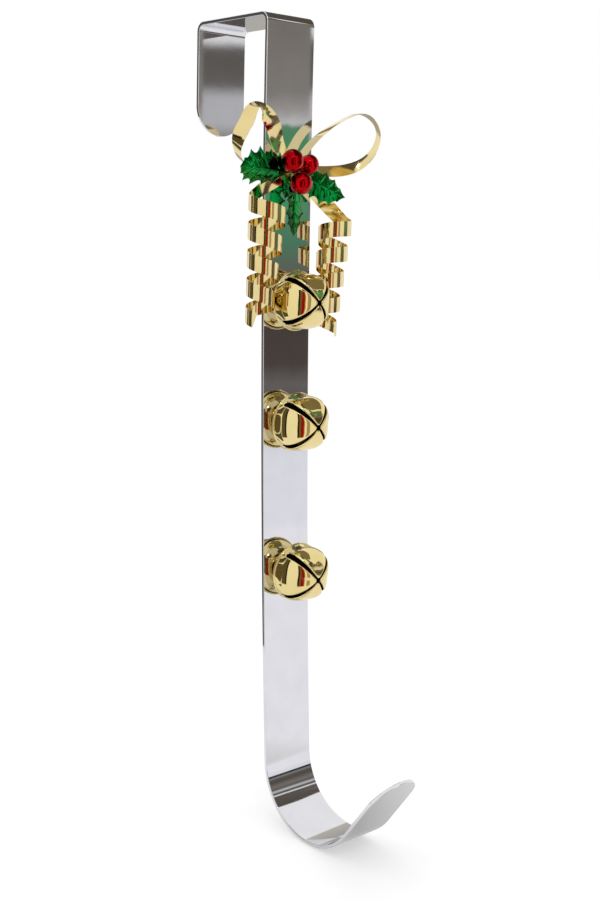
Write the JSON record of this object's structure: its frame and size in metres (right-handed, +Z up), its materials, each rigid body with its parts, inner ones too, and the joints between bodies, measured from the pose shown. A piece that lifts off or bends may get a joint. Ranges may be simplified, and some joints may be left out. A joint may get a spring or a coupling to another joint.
{
  "type": "wreath hanger",
  "caption": "Over-door strip hanger with a curved hook for a wreath, dressed with round bells, a curled ribbon bow and a holly pick.",
  "frame": {"origin": "centre of the underside of the top bar, the face that rests on the door's top edge", "axes": "+Z up; -Y out of the door's face, towards the side that carries the bells and the hook; X across the strip"},
  "size_m": [0.0781, 0.1283, 0.3446],
  "materials": {
    "chromed_steel": "mirror plated",
    "gold_bell": "bright plated",
    "steel_trim": "plain",
    "gold_ribbon": "metallised film",
    "clear_glue": "cloudy",
    "green_wire": "satin",
    "green_foil": "metallised foil",
    "red_berry": "gloss lacquer"
  },
  "bodies": {
    "root": {"bottom_leaf": "green_foil", "glue_dot": "clear_glue", "hanger_strip": "chromed_steel", "left_leaf": "green_foil", "lower_bell_front_shell": "gold_bell", "lower_bell_pellet": "steel_trim", "lower_bell_rear_shell": "gold_bell", "lower_bell_rivet": "steel_trim", "lower_berry": "red_berry", "middle_bell_front_shell": "gold_bell", "middle_bell_pellet": "steel_trim", "middle_bell_rear_shell": "gold_bell", "middle_bell_rivet": "steel_trim", "pick_stem": "green_wire", "ribbon_bow": "gold_ribbon", "right_leaf": "green_foil", "upper_bell_front_shell": "gold_bell", "upper_bell_pellet": "steel_trim", "upper_bell_rear_shell": "gold_bell", "upper_bell_rivet": "steel_trim", "upper_left_berry": "red_berry", "upper_right_berry": "red_berry"}
  },
  "joints": []
}
